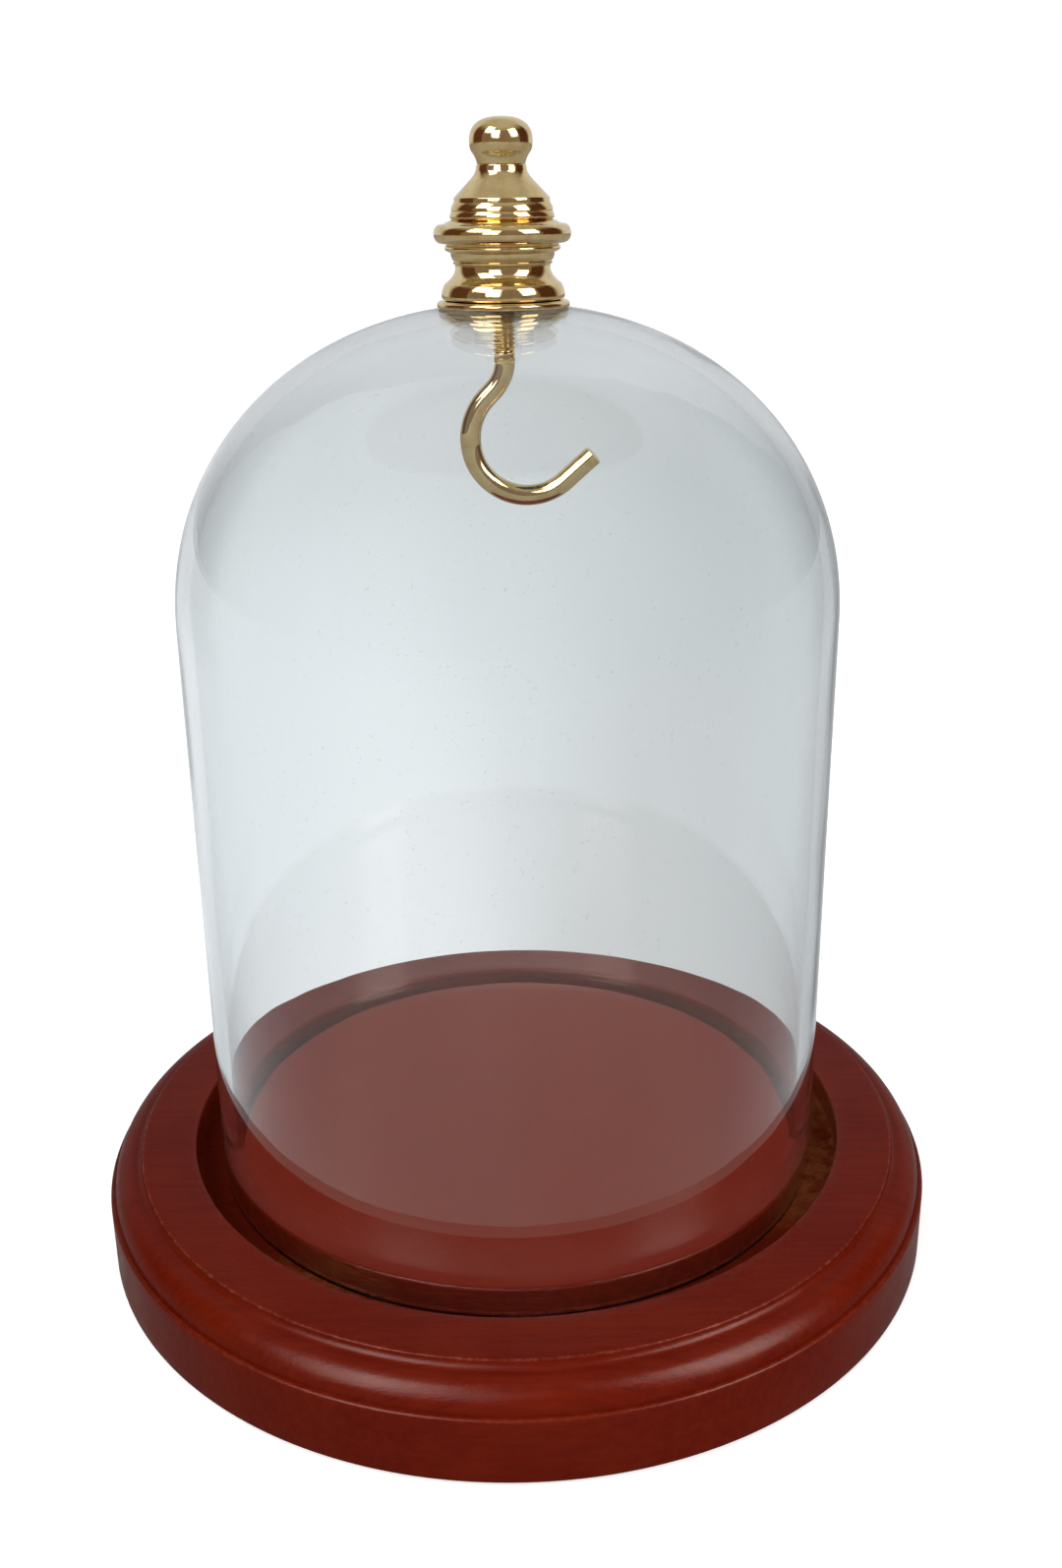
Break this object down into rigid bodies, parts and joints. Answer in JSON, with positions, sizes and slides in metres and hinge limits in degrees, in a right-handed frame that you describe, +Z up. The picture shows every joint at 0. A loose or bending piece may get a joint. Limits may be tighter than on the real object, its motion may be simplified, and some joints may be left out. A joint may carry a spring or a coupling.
{
  "type": "bell jar dome",
  "caption": "Glass display dome on a turned wooden base, with a turned brass knob on top and a wire hanging hook inside.",
  "frame": {"origin": "centre of the underside of the felt pad, on the axis of the dome", "axes": "+Z up the axis from the base to the knob; the hook lies in the XZ plane and opens towards +X"},
  "size_m": [0.1048, 0.1048, 0.1338],
  "materials": {
    "stained_wood": "red-brown stain under satin lacquer",
    "felt": "dense wool felt",
    "clear_glass": "clear polished",
    "clear_plastic": "clear moulded",
    "polished_brass": "polished and lacquered"
  },
  "bodies": {
    "base": {"base_turning": "stained_wood", "felt_pad": "felt"},
    "dome": {"glass_dome": "clear_glass", "outer_gasket": "clear_plastic", "inner_gasket": "clear_plastic"},
    "knob_and_hook": {"finial_knob": "polished_brass", "seat_washer": "polished_brass", "clamp_nut": "clear_plastic", "hook": "polished_brass"}
  },
  "joints": [
    {"name": "dome_lift", "type": "slide", "parent": "base", "child": "dome", "axis": [0, 0, 1], "range_m": [0, 0.12]},
    {"name": "hook_turn", "type": "hinge", "parent": "dome", "child": "knob_and_hook", "pos_m": [0, 0, 0.1145], "axis": [0, 0, 1], "continuous": true}
  ]
}
